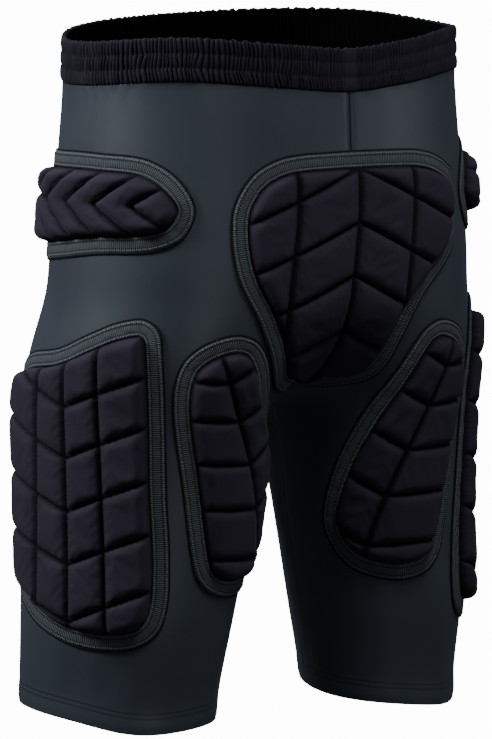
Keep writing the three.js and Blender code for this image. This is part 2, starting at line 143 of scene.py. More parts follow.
def field(points):
    """Negative inside the worn form, zero on its surface."""
    x, y, z = points[..., 0], points[..., 1], points[..., 2]
    hip_share = smooth((z - CROTCH_LOW) / (CROTCH_HIGH - CROTCH_LOW))
    left, right = side_field(x, y, z, hip_share), side_field(-x, y, z, hip_share)
    fill = VALLEY_FILL * (1 - hip_share) + TINY
    near = np.maximum(fill - np.abs(left - right), 0) / fill
    return np.minimum(left, right) - near * near * fill / 4


def leave(origin, direction, reach=RAY_REACH):
    """Where rays from inside leave the worn form."""
    origin, direction = np.broadcast_arrays(np.asarray(origin, float), np.asarray(direction, float))
    inside = np.zeros(origin.shape[:-1])
    outside = np.broadcast_to(np.asarray(reach, float), inside.shape).copy()
    for _ in range(RAY_STEPS):
        middle = (inside + outside) / 2
        within = field(origin + direction * middle[..., None]) < 0
        inside = np.where(within, middle, inside)
        outside = np.where(within, outside, middle)
    return origin + direction * ((inside + outside) / 2)[..., None]


def normals(points, step=0.5):
    """Outward directions of the surface."""
    shifts = np.eye(3) * step
    slope = np.stack([field(points + shift) - field(points - shift) for shift in shifts], -1)
    return slope / np.linalg.norm(slope, axis=-1, keepdims=True)


def raised(points, height):
    """Points moved out from the surface."""
    return points + normals(points) * np.asarray(height, float)[..., None]


def round_leg(angle, z):
    """The surface at an angle in degrees and a height round the left leg."""
    angle, z = np.broadcast_arrays(np.asarray(angle, float), np.asarray(z, float))
    turn = np.radians(angle)
    centre_x = along(LEG, LEG_X, z)
    origin = np.stack([centre_x, along(LEG, LEG_Y, z), z], -1)
    direction = np.stack([np.cos(turn), np.sin(turn), np.zeros_like(turn)], -1)
    to_middle = centre_x / np.maximum(-direction[..., 0], TINY)
    return leave(origin, direction, np.minimum(to_middle, RAY_REACH))


def leg_angle(points):
    """Angle in degrees of points round the left leg."""
    x, y, z = points[..., 0], points[..., 1], points[..., 2]
    return np.degrees(np.arctan2(y - along(LEG, LEG_Y, z), x - along(LEG, LEG_X, z)))


def leg_seat(points):
    """Points dropped onto the surface, towards the left leg's axis."""
    return round_leg(leg_angle(points), points[..., 2])


def from_front(x, z):
    """The surface straight behind a place in the front view."""
    x, z = np.broadcast_arrays(np.asarray(x, float), np.asarray(z, float))
    return leave(np.stack([x, np.zeros_like(x), z], -1), (0, -1, 0))


def front_seat(points):
    """Points dropped onto the surface, straight back from the front."""
    return from_front(points[..., 0], points[..., 2])


def band_rise(x, y):
    """Rise of the waistband's middle line at a place round the waist."""
    depth = np.where(y > 0, along(HIPS, BACK_DEPTH, 0.0), along(HIPS, FRONT_DEPTH, 0.0))
    return along(BAND_RISE, 1, np.degrees(np.arctan2(x / along(HIPS, HALF_WIDTH, 0.0), -y / depth)))


def hem_z(angle):
    """Height of the hem at an angle round the left leg."""
    drop = np.exp(-(((angle - HEM_DROP_ANGLE) / HEM_DROP_SPREAD) ** 2))
    return HEM_Z + HEM_TILT * np.sin(np.radians(angle)) - HEM_DROP * drop


NOISE_TERMS = 9
NOISE_PITCHES = (0.6, 1.8)


class WavyNoise:
    """Smooth noise of one variable: sines of seeded pitch and phase."""

    def __init__(self, key, pitch):
        random = np.random.default_rng(SEED + key)
        self.rates = 2 * math.pi / (pitch * random.uniform(*NOISE_PITCHES, NOISE_TERMS))
        self.phases = random.uniform(0, 2 * math.pi, NOISE_TERMS)
        self.scale = 1 / math.sqrt(NOISE_TERMS / 2)

    def __call__(self, t):
        return sum(np.sin(t * rate + phase) for rate, phase in zip(self.rates, self.phases)) * self.scale


# Meshes

def grid_faces(rows, columns, closed_rows=False, closed_columns=False):
    """Quads of a grid of points that are numbered row by row, and each corner's row and column."""
    row, column = np.meshgrid(
        np.arange(rows if closed_rows else rows - 1), np.arange(columns if closed_columns else columns - 1),
        indexing="ij",
    )
    round_quad = ((0, 0), (0, 1), (1, 1), (1, 0))
    corners = np.stack([
        np.stack([row + down, column + right], -1).reshape(-1, 2) for down, right in round_quad
    ], 1)
    return corners[..., 0] % rows * columns + corners[..., 1] % columns, corners


def add_piece(name, points, faces, material, values=None, corner_places=None):
    """A piece from points in millimetres, with named values at its points and a map of places."""
    mesh = bpy.data.meshes.new(name)
    mesh.from_pydata((np.asarray(points) * MM).tolist(), [], np.asarray(faces).tolist())
    for key, numbers in (values or {}).items():
        attribute = mesh.attributes.new(key, "FLOAT", "POINT")
        attribute.data.foreach_set("value", np.asarray(numbers, float).ravel())
    if corner_places is not None:
        places = mesh.uv_layers.new(name="Places")
        places.data.foreach_set("uv", np.asarray(corner_places, float).ravel())
    mesh.materials.append(material)
    mesh.polygons.foreach_set("use_smooth", [True] * len(mesh.polygons))
    mesh.update()
    piece = bpy.data.objects.new(name, mesh)
    bpy.context.scene.collection.objects.link(piece)
    return piece


def select_only(piece):
    """Makes a piece the only selected and active object."""
    bpy.ops.object.select_all(action="DESELECT")
    piece.select_set(True)
    bpy.context.view_layer.objects.active = piece


def face_outwards(piece):
    """Turns a closed piece's faces outwards."""
    select_only(piece)
    bpy.ops.object.mode_set(mode="EDIT")
    bpy.ops.mesh.select_all(action="SELECT")
    bpy.ops.mesh.normals_make_consistent(inside=False)
    bpy.ops.object.mode_set(mode="OBJECT")


def finish_modifier(piece, kind, **settings):
    """Adds a modifier to a piece and applies it."""
    select_only(piece)
    modifier = piece.modifiers.new(kind.title(), kind)
    for key, value in settings.items():
        setattr(modifier, key, value)
    bpy.ops.object.modifier_apply(modifier=modifier.name)


def mirrored(piece, name):
    """A copy of a left piece for the right side, with its own mesh."""
    mesh = piece.data.copy()
    mesh.name = name
    places = np.zeros(len(mesh.vertices) * 3)
    mesh.vertices.foreach_get("co", places)
    places = places.reshape(-1, 3) * (-1, 1, 1)
    mesh.vertices.foreach_set("co", places.ravel())
    mesh.flip_normals()
    copy = bpy.data.objects.new(name, mesh)
    bpy.context.scene.collection.objects.link(copy)
    return copy


def dress(piece, slot, *nodes):
    """Says what a piece rides on and which solids it stands for, and hides them. The slot argument is not
    used.
    """
    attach(piece, "root")
    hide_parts(*nodes)


# Materials

# Share of a drawn line's half width that has its full strength
LINE_CORE = 0.4


class Wire:
    """A value in a material. Arithmetic on it adds Math nodes."""

    def __init__(self, fabric, socket):
        self.fabric = fabric
        self.socket = socket

    def __add__(self, other):
        return self.fabric.maths("ADD", self, other)

    __radd__ = __add__

    def __sub__(self, other):
        return self.fabric.maths("SUBTRACT", self, other)

    def __rsub__(self, other):
        return self.fabric.maths("SUBTRACT", other, self)

    def __mul__(self, other):
        return self.fabric.maths("MULTIPLY", self, other)

    __rmul__ = __mul__


class Fabric:
    """A material that is being put together."""

    def __init__(self, name):
        self.material = bpy.data.materials.new(name)
        self.material.use_nodes = True
        self.tree = self.material.node_tree
        self.tree.nodes.clear()

    def add(self, kind, output, settings=None, **inputs):
        """Adds a node with its settings, then its sockets' values or links, and gives back one output."""
        node = self.tree.nodes.new(kind)
        for key, value in (settings or {}).items():
            setattr(node, key, value)
        for key, value in inputs.items():
            socket = node.inputs[int(key[1:])] if key[1:].isdigit() else node.inputs[key.replace("_", " ")]
            if isinstance(value, Wire):
                self.tree.links.new(value.socket, socket)
            else:
                socket.default_value = value
        return Wire(self, node.outputs[output])

    def maths(self, operation, *values):
        """A Math node on values or numbers."""
        inputs = {f"i{index}": value for index, value in enumerate(values)}
        return self.add("ShaderNodeMath", 0, {"operation": operation}, **inputs)

    def mixed(self, share, first, second):
        """A colour between two colours."""
        return self.add("ShaderNodeMix", 2, {"data_type": "RGBA"}, i0=share, i6=first, i7=second)

    def ramp(self, value, low, high):
        """Zero to one as a value goes from low to high, with flat ends."""
        settings = {"interpolation_type": "SMOOTHSTEP"}
        return self.add("ShaderNodeMapRange", 0, settings, Value=value, i1=low, i2=high)

    def line(self, value, middle, width):
        """One within a line at a value, zero away from it."""
        away = self.maths("ABSOLUTE", value - middle)
        return 1 - self.ramp(away, width * LINE_CORE, width)

    def noise(self, vector, scale, detail):
        """Even noise between zero and one."""
        return self.add("ShaderNodeTexNoise", 0, None, Vector=vector, Scale=scale, Detail=detail)

    def value(self, name):
        """A named value that the piece's mesh carries."""
        return self.add("ShaderNodeAttribute", "Fac", {"attribute_name": name})

    def places(self, scale=(1.0, 1.0, 1.0)):
        """Object coordinates, stretched."""
        where = self.add("ShaderNodeTexCoord", "Object")
        return self.add("ShaderNodeMapping", 0, None, Vector=where, Scale=scale)

    def bumped(self, height, distance, strength):
        """A normal from a height in millimetres."""
        return self.add("ShaderNodeBump", 0, None, Height=height, Distance=distance * MM, Strength=strength)

    def finish(self, colour, roughness, normal, sheen, sheen_roughness, sheen_tint, specular):
        """Puts the surface shader on the material. Sheen and specular level are the same all over."""
        surface = self.add(
            "ShaderNodeBsdfPrincipled", 0, None, Base_Color=colour, Roughness=roughness, Normal=normal,
            Sheen_Weight=sheen, Sheen_Roughness=sheen_roughness, Sheen_Tint=sheen_tint,
            Specular_IOR_Level=specular,
        )
        self.tree.links.new(surface.socket, self.tree.nodes.new("ShaderNodeOutputMaterial").inputs["Surface"])
        return self.material


def tone(colour, share):
    """A colour made darker or brighter, with full alpha."""
    return tuple(share * channel for channel in colour) + (1.0,)


def shell_knit(colour):
    """Smooth stretch knit: fine upright wales, slow changes of shade, sewn seams and twin-needle hems."""
    fabric = Fabric("shell_knit")
    wales = fabric.noise(fabric.places((1.0, 1.0, 0.22)), scale=1500.0, detail=1.0)
    yarn = fabric.noise(fabric.places((1.0, 1.0, 0.6)), scale=2600.0, detail=1.0)
    clouds = fabric.noise(fabric.places(), scale=18.0, detail=3.0)
    seam = fabric.value("seam")
    hem = fabric.value("hem")
    lower_stitches = fabric.line(hem, middle=12.0, width=0.8)
    upper_stitches = fabric.line(hem, middle=15.5, width=0.8)
    stitched = lower_stitches + upper_stitches + fabric.line(seam, middle=0.0, width=1.3)
    shade = fabric.mixed(clouds * 0.7 + wales * 0.3, tone(colour, 0.72), tone(colour, 1.28))
    sewn = fabric.mixed(stitched * 0.75, shade, tone(colour, 0.3))
    rough = 0.37 + clouds * 0.1 + wales * 0.06
    normal = fabric.bumped(wales * 0.7 + yarn * 0.3, distance=0.12, strength=0.5)
    return fabric.finish(
        sewn, rough, normal, sheen=0.03, sheen_roughness=0.4, sheen_tint=(0.6, 0.78, 1.0, 1.0), specular=0.5)


def pad_knit(colour):
    """Brushed matte knit over foam, with painted shade in the sewn grooves and beside the rim."""
    fabric = Fabric("pad_knit")
    nap = fabric.noise(fabric.places(), scale=1900.0, detail=2.0)
    wales = fabric.noise(fabric.places((1.0, 1.0, 0.3)), scale=900.0, detail=1.0)
    clouds = fabric.noise(fabric.places(), scale=45.0, detail=2.0)
    # Painted shade: darker in the sewn grooves and near the rim.
    painted_groove_shade = 1 - fabric.ramp(fabric.value("groove"), low=0.2, high=2.6)
    shade = fabric.mixed(clouds * 0.5 + nap * 0.5, tone(colour, 0.55), tone(colour, 1.3))
    coloured = fabric.mixed(painted_groove_shade, shade, tone(colour, 0.2))
    rough = 0.78 + nap * 0.16
    normal = fabric.bumped(nap * 0.6 + wales * 0.4, distance=0.16, strength=0.6)
    return fabric.finish(
        coloured, rough, normal, sheen=0.03, sheen_roughness=0.5, sheen_tint=(0.9, 0.74, 1.0, 1.0),
        specular=0.06)


def binding_tape(colour, rib_pitch):
    """Flat ribbed tape: cross ribs with painted shade in their troughs and painted highlight on their crests,
    a flatlock stitch along each edge with painted shade in the creases beside it, and a darker strip along
    the outer edge.
    """
    fabric = Fabric("binding_tape")
    split = fabric.tree.nodes.new("ShaderNodeSeparateXYZ")
    fabric.tree.links.new(fabric.add("ShaderNodeUVMap", 0, {"uv_map": "Places"}).socket, split.inputs[0])
    run, across = Wire(fabric, split.outputs[0]), Wire(fabric, split.outputs[1])
    rib_rate = 2 * math.pi / rib_pitch
    stitch_rate = 2 * math.pi / (rib_pitch * STITCHES_PER_RIB)
    ribs = fabric.maths("SINE", run * rib_rate) * 0.5 + 0.5
    stitches = fabric.maths("SINE", run * stitch_rate + across * STITCH_LEAN) * 0.5 + 0.5
    fuzz = fabric.noise(fabric.places(), scale=1400.0, detail=2.0)
    outer_seam, inner_seam = TAPE_SEAMS
    outer_crease, inner_crease = CREASE_SHADE_PLACES
    seams = fabric.line(across, outer_seam, width=0.9) + fabric.line(across, inner_seam, width=0.9)
    # Painted shade in the creases beside the sewn lines.
    crease_shade = fabric.line(across, outer_crease, width=0.7) + fabric.line(across, inner_crease, width=0.7)
    # Darker strip along the tape's outer edge, over the raised bead.
    darkened_outer_edge = 1 - fabric.ramp(across, low=DARK_EDGE_WIDTH * 0.8, high=DARK_EDGE_WIDTH * 1.3)
    black = tone(colour, 0.1)
    # Painted shade and highlight of the ribs, darker troughs and lighter crests, with the yarn's random fuzz
    # tone.
    shade = fabric.mixed(ribs * 0.7 + fuzz * 0.3, tone(colour, 0.3), tone(colour, 1.6))
    threaded = fabric.mixed(seams * stitches * 0.9, shade, tone(colour, 1.9))
    crease_shaded = fabric.mixed(crease_shade * 0.6, threaded, black)
    coloured = fabric.mixed(darkened_outer_edge, crease_shaded, black)
    rough = 0.62 + fuzz * 0.2
    normal = fabric.bumped(ribs * 0.8 + seams * stitches * 0.8 + fuzz * 0.3, distance=0.6, strength=1.0)
    return fabric.finish(
        coloured, rough, normal, sheen=0.04, sheen_roughness=0.5, sheen_tint=(0.9, 0.95, 1.0, 1.0),
        specular=0.1)


def band_elastic(colour):
    """Gathered elastic casing in black knit, with painted shade in the gathers' valleys, along the pinched
    stitched rows and on the inside rows.
    """
    fabric = Fabric("band_elastic")
    yarn = fabric.noise(fabric.places((1.0, 1.0, 0.35)), scale=1500.0, detail=2.0)
    clouds = fabric.noise(fabric.places(), scale=60.0, detail=2.0)
    # Painted shade: darker in the gathers' valleys, along the stitched rows and on the inside rows.
    painted_valley_shade = fabric.ramp(fabric.value("valley"), low=0.35, high=1.0)
    shade = fabric.mixed(clouds * 0.6 + yarn * 0.4, tone(colour, 0.6), tone(colour, 1.35))
    coloured = fabric.mixed(painted_valley_shade * 0.85, shade, tone(colour, 0.1))
    rough = 0.7 + yarn * 0.2
    normal = fabric.bumped(yarn, distance=0.18, strength=0.6)
    return fabric.finish(
        coloured, rough, normal, sheen=0.02, sheen_roughness=0.5, sheen_tint=(0.95, 0.9, 1.0, 1.0),
        specular=0.08)


def shaded_inside_knit(colour):
    """Near-black knit on the inside faces and cut edges, which gives back hardly any light: painted shade for
    the dark inside of the shorts.
    """
    fabric = Fabric("shaded_inside_knit")
    yarn = fabric.noise(fabric.places((1.0, 1.0, 0.35)), scale=1500.0, detail=2.0)
    shade = fabric.mixed(yarn, tone(colour, 0.5), tone(colour, 1.0))
    normal = fabric.bumped(yarn, distance=0.18, strength=0.5)
    return fabric.finish(
        shade, 0.85 + yarn * 0.15, normal, sheen=0.0, sheen_roughness=0.5, sheen_tint=(1.0, 1.0, 1.0, 1.0),
        specular=0.05)


def paper_floor(colour):
    """Pale studio paper that gives back its own light."""
    fabric = Fabric("studio_paper")
    grain = fabric.noise(fabric.places(), scale=3.0, detail=2.0)
    shade = fabric.mixed(grain, tone(colour, 1.0), tone(colour, 0.995))
    surface = fabric.add("ShaderNodeEmission", 0, None, Color=shade, Strength=FLOOR_GLOW)
    fabric.tree.links.new(surface.socket, fabric.tree.nodes.new("ShaderNodeOutputMaterial").inputs["Surface"])
    return fabric.material


# Near-black colour of the inside faces and cut edges: painted shade.
SHADED_INSIDE_COLOUR = (0.0012, 0.0012, 0.0016)
MADE = {}


def material_of(maker, *settings):
    """A material that is made once and shared. The solids' own materials may have the same names."""
    if maker not in MADE:
        MADE[maker] = maker(*settings)
    return MADE[maker]


# Settings

COLOUR = {"subtype": "COLOR", "size": 3, "min": 0.0, "max": 1.0}


class ShortsSettings(bpy.types.PropertyGroup):
    """Sizes and colours of the shorts, in millimetres where they are lengths."""

    shell_colour: FloatVectorProperty(
        name="Shell", description="Colour of the stretch knit", default=(0.0420, 0.0475, 0.0580), **COLOUR)
    pad_colour: FloatVectorProperty(
        name="Pads", description="Colour of the pads' knit", default=(0.0365, 0.0295, 0.0415), **COLOUR)
    tape_colour: FloatVectorProperty(
        name="Tape", description="Colour of the binding tape", default=(0.084, 0.088, 0.094), **COLOUR)
    band_colour: FloatVectorProperty(
        name="Waistband", description="Colour of the casing", default=(0.0230, 0.0190, 0.0270), **COLOUR)
    floor_colour: FloatVectorProperty(
        name="Floor", description="Colour of the studio paper", default=(1.0, 1.0, 1.0), **COLOUR)
    gathers: IntProperty(
        name="Gathers", description="Gathers round the waistband", default=290, min=20, max=400)
    gather_depth: FloatProperty(
        name="Gather depth", description="Depth of a gather, in millimetres", default=1.9)
    shell_wall: FloatProperty(
        name="Shell thickness", description="Thickness of the knit, in millimetres", default=1.2)
    rib_pitch: FloatProperty(
        name="Tape ribs", description="Distance between the tape's ribs, in millimetres", default=1.6)
    swelling: FloatProperty(
        name="Swelling", description="Pressure that swells the pads' cells", default=4.0)


# The knitted shell

# Grid of the left half. The rows crowd towards the hem, and one row lies close to each edge.
SHELL_COLUMNS = 172
CROTCH_COLUMNS = 20
HIP_ROWS = 84
LEG_ROWS = 88
CROTCH_PIVOT_Z = -224
CROTCH_TOP_Z = -237
SEAM_HALF_GAP = 0.15
RIM_GAP = 0.1
EDGE_ROW = 0.0015
LEG_ROW_CROWDING = 1.25
INSEAM_ANGLE = 170
INSEAM_RADIUS = 70
LEG_RADIUS = 85

# Relief of the shell, in millimetres: depth or height of a form, its half width and its place
SEAM_GROOVE = (-0.55, 1.5)
SEAM_LIP = (0.1, 1.6, 3.6)
HEM_FOLD = (0.45, 13, 4)
HEM_STITCHES = (-0.4, 1.3)
HEM_STITCH_PLACES = (12, 15.5)
HEM_STITCH_RIPPLE = -0.12
HEM_STITCH_SHIFT = 40
HEM_EDGE = (-0.5, 1.4)
GATHERING = 0.3
GATHERING_SINK = -0.1
GATHERING_REACH = 8
RIM_FLARE = 0.25
RIM_FLARE_REACH = 3
LEG_FOLD = 0.3
LEG_FOLD_LEAN = 0.15
LEG_FOLD_TOP = -210
LEG_FOLD_FADE = 60
LEG_FOLD_HEM_FADE = 30
# Noise: key and pitch, for the folds by side
GATHERING_NOISE = (3, 12.0)
RIPPLE_NOISE = (5, 5.0)
LEG_FOLD_NOISE = {1: (7, 60.0), -1: (9, 60.0)}
# How far from a seam and from the hem the material still reads a distance
SEAM_REACH = 12
HEM_REACH = 40
# Heights where the seams and the gathering change over, each with the height that the change takes
HIPS_START = (-236, 6)
MIDDLE_SEAM_END = (-262, 14)
INSEAM_START = (-250, 12)
SEAM_AWAY = 30


def shell_points():
    """Grids of points of the left half: the hips from rim to crotch, and the leg from crotch to hem."""
    share = np.linspace(0, 1, SHELL_COLUMNS + 1)

    def seam_line(z, y):
        origin = np.stack([np.full_like(z, SEAM_HALF_GAP), np.zeros_like(z), z], -1)
        return leave(origin, (0, y, 0))

    def hip_grid(z):
        front, back = seam_line(z, -1.0), seam_line(z, 1.0)
        angle = leg_angle(front) * (1 - share) + leg_angle(back) * share
        grid = round_leg(angle, z)
        grid[:, 0], grid[:, -1] = front[:, 0], back[:, -1]
        return grid

    def hips(side):
        rim = hip_grid(np.full((1, SHELL_COLUMNS + 1), -BAND_HEIGHT / 2))[0]
        top = band_rise(rim[:, 0] * side, rim[:, 1]) - BAND_HEIGHT / 2 - RIM_GAP
        down = np.concatenate([[0, EDGE_ROW], np.linspace(0, 1, HIP_ROWS - 1)[1:]])[:, None]
        return hip_grid(top * (1 - down) + CROTCH_TOP_Z * down)

    left, right = hips(1), hips(-1)
    last = left[-1]
    pivot = np.array([SEAM_HALF_GAP, 0, CROTCH_PIVOT_Z])
    back_turn, front_turn = (np.arctan2(last[i, 2] - CROTCH_PIVOT_Z, last[i, 1]) for i in (-1, 0))
    turn = np.linspace(back_turn, front_turn, CROTCH_COLUMNS + 1)[1:-1]
    arc = leave(pivot, np.stack([np.zeros_like(turn), np.cos(turn), np.sin(turn)], -1))
    start = np.concatenate([last, arc])
    start_angle = leg_angle(start)
    past_the_back = (np.arange(len(start)) > SHELL_COLUMNS) & (start_angle < 0)
    start_angle = np.where(past_the_back, start_angle + 360, start_angle)
    end_angle = start_angle[0] + 360 * np.arange(len(start)) / len(start)
    hem = hem_z((end_angle + 180) % 360 - 180)
    crowded = np.linspace(0, 1, LEG_ROWS - 1) ** LEG_ROW_CROWDING
    down = np.concatenate([crowded[1:-1], [1 - EDGE_ROW, 1]])[:, None]
    leg = round_leg(start_angle * (1 - down) + end_angle * down, start[:, 2] * (1 - down) + hem * down)
    return left, right, arc, leg


def changed(z, change):
    """Share of a change with height: zero at its start, one above its end."""
    start, length = change
    return smooth((z - start) / length)


def shell_relief(points, side, rim_z):
    """Seams, hem, folds and gathers of the shell, as a height, and the values that its material reads."""
    z = points[:, 2]
    angle = leg_angle(points)
    on_hips = changed(z, HIPS_START)
    inseam = np.radians(np.abs((angle - INSEAM_ANGLE + 180) % 360 - 180)) * INSEAM_RADIUS
    # The middle seam counts above the crotch only, and the inseam below it only
    middle_seam = np.abs(points[:, 0]) + SEAM_AWAY * (1 - changed(z, MIDDLE_SEAM_END))
    seam = np.minimum(middle_seam, inseam + SEAM_AWAY * changed(z, INSEAM_START))
    hem = z - hem_z(angle)
    below_rim = rim_z - z
    stretch = WavyNoise(*GATHERING_NOISE)
    ripple = WavyNoise(*RIPPLE_NOISE)
    fold = WavyNoise(*LEG_FOLD_NOISE[side])
    around = np.radians(angle) * LEG_RADIUS
    groove, groove_width = SEAM_GROOVE
    lip, lip_width, lip_place = SEAM_LIP
    height = groove * bump(seam, groove_width) + lip * bump(seam - lip_place, lip_width)
    folded, fold_top, fold_fade = HEM_FOLD
    height += folded * (1 - smooth((hem - fold_top) / fold_fade))
    sunk, sunk_width = HEM_STITCHES
    for place, shift in zip(HEM_STITCH_PLACES, (0, HEM_STITCH_SHIFT)):
        height += (sunk + HEM_STITCH_RIPPLE * ripple(around + shift)) * bump(hem - place, sunk_width)
    edge, edge_width = HEM_EDGE
    height += edge * bump(hem, edge_width)
    at_rim = np.exp(-np.maximum(below_rim, 0) / RIM_FLARE_REACH)
    gathered = (GATHERING * stretch(around) + GATHERING_SINK) * np.exp(-below_rim / GATHERING_REACH)
    height += gathered * (1 - at_rim) * on_hips + RIM_FLARE * at_rim
    leg_share = smooth(-(z - LEG_FOLD_TOP) / LEG_FOLD_FADE) * smooth(hem / LEG_FOLD_HEM_FADE)
    height += LEG_FOLD * fold(around + LEG_FOLD_LEAN * z) * leg_share
    return height, {"seam": np.minimum(seam, SEAM_REACH), "hem": np.minimum(hem, HEM_REACH)}


class SHORTS_OT_shell(bpy.types.Operator):
    """Make the two halves of the knitted shell"""

    bl_idname = "shorts.shell"
    bl_label = "Shell"

    def execute(self, context):
        chosen = context.scene.shorts
        material = material_of(shell_knit, tuple(chosen.shell_colour))
        left, right, arc, leg = shell_points()
        hip_faces, _ = grid_faces(HIP_ROWS, SHELL_COLUMNS + 1)
        ring = len(arc) + SHELL_COLUMNS + 1
        hip_count = HIP_ROWS * (SHELL_COLUMNS + 1)
        first_ring = np.concatenate([
            np.arange(hip_count - SHELL_COLUMNS - 1, hip_count),
            np.arange(hip_count, hip_count + len(arc)),
        ])
        rings = np.concatenate([
            first_ring, np.arange((LEG_ROWS - 1) * ring) + hip_count + len(arc),
        ])
        leg_faces, _ = grid_faces(LEG_ROWS, ring, closed_columns=True)
        faces = np.concatenate([hip_faces, rings[leg_faces]])
        for name, side, hips in (("left_shell", 1, left), ("right_shell", -1, right)):
            points = np.concatenate([hips.reshape(-1, 3), arc, leg.reshape(-1, 3)])
            rim = band_rise(points[:, 0] * side, points[:, 1]) - BAND_HEIGHT / 2 - RIM_GAP
            height, values = shell_relief(points, side, rim)
            moved = raised(points, height)
            moved[:, 0] = np.maximum(moved[:, 0], SEAM_HALF_GAP)
            turned_faces = faces if side < 0 else faces[:, ::-1]
            piece = add_piece(name, moved * (side, 1, 1), turned_faces, material, values)
            out = sum(polygon.normal.x * polygon.center.x for polygon in piece.data.polygons)
            if out < 0:
                piece.data.flip_normals()
            # The inside faces and the cut edges take the near-black painted shade.
            piece.data.materials.append(material_of(shaded_inside_knit, SHADED_INSIDE_COLOUR))
            shaded_inside_slots = {"material_offset": 1, "material_offset_rim": 1}
            finish_modifier(piece, "SOLIDIFY", thickness=chosen.shell_wall * MM, offset=-1.0, **shaded_inside_slots)
            dress(piece, "shell_knit", f"{name[:-6]}_panel")
        return {"FINISHED"}


# The gathered waistband

BAND_PER_GATHER = 6
BAND_ROW_STEPS = 8
BAND_INSIDE_STEPS = 8
BAND_ROWS = 3
BAND_EDGE = 0.7
BAND_SEAM = 1.3
BAND_PUFF = 2.4
BAND_INSIDE = -2.2
# Painted shade of the inside rows: full darkness.
INNER_FACE_SHADE = 1.0
PLAIN_SPOT = 2.2
# How far the gathers of each row lean, in gathers, from the lowest row up
BAND_LEAN = (0.7, -0.25, 0.2)
# Spread of the gathers' widths, and how far they wander and lean at random
GATHER_WIDTHS = (0.65, 1.4)
GATHER_WANDER = 0.8
GATHER_SLANT = 1.3
# Noise of each row: the first key and the pitch round the waist
WANDER_NOISE = (20, 0.16)
SLANT_STRETCH = 0.7
DEPTH_NOISE = (40, 0.08)
RIM_NOISE = (60, 0.05)
# Depth of the gathers: least share at the centre front, share kept at a stitched row, change at random
PLAIN_SHARE = 0.15
PLAIN_FADE = 1.5
STITCHED_DEPTH = 0.6
DEPTH_CHANGE = 0.25
EDGE_DEPTH = 0.55
# Shapes of a row's swelling and of a gather, and how dark and wide the painted shade along a stitched row is
ROW_ROUNDNESS = 0.6
GATHER_SHARPNESS = 1.8
STITCHED_ROW_SHADE = (0.55, 0.09)
# The upper rim: its unevenness, its rise at a gather and the share of the row that it takes
RIM_UNEVEN = 0.35
RIM_AT_GATHER = 0.3
RIM_FROM = 0.6
# Inside: distance of its edges from the rim and the lower edge, and depth of its gathers
INSIDE_MARGIN = 0.9
INSIDE_GATHER = 0.4


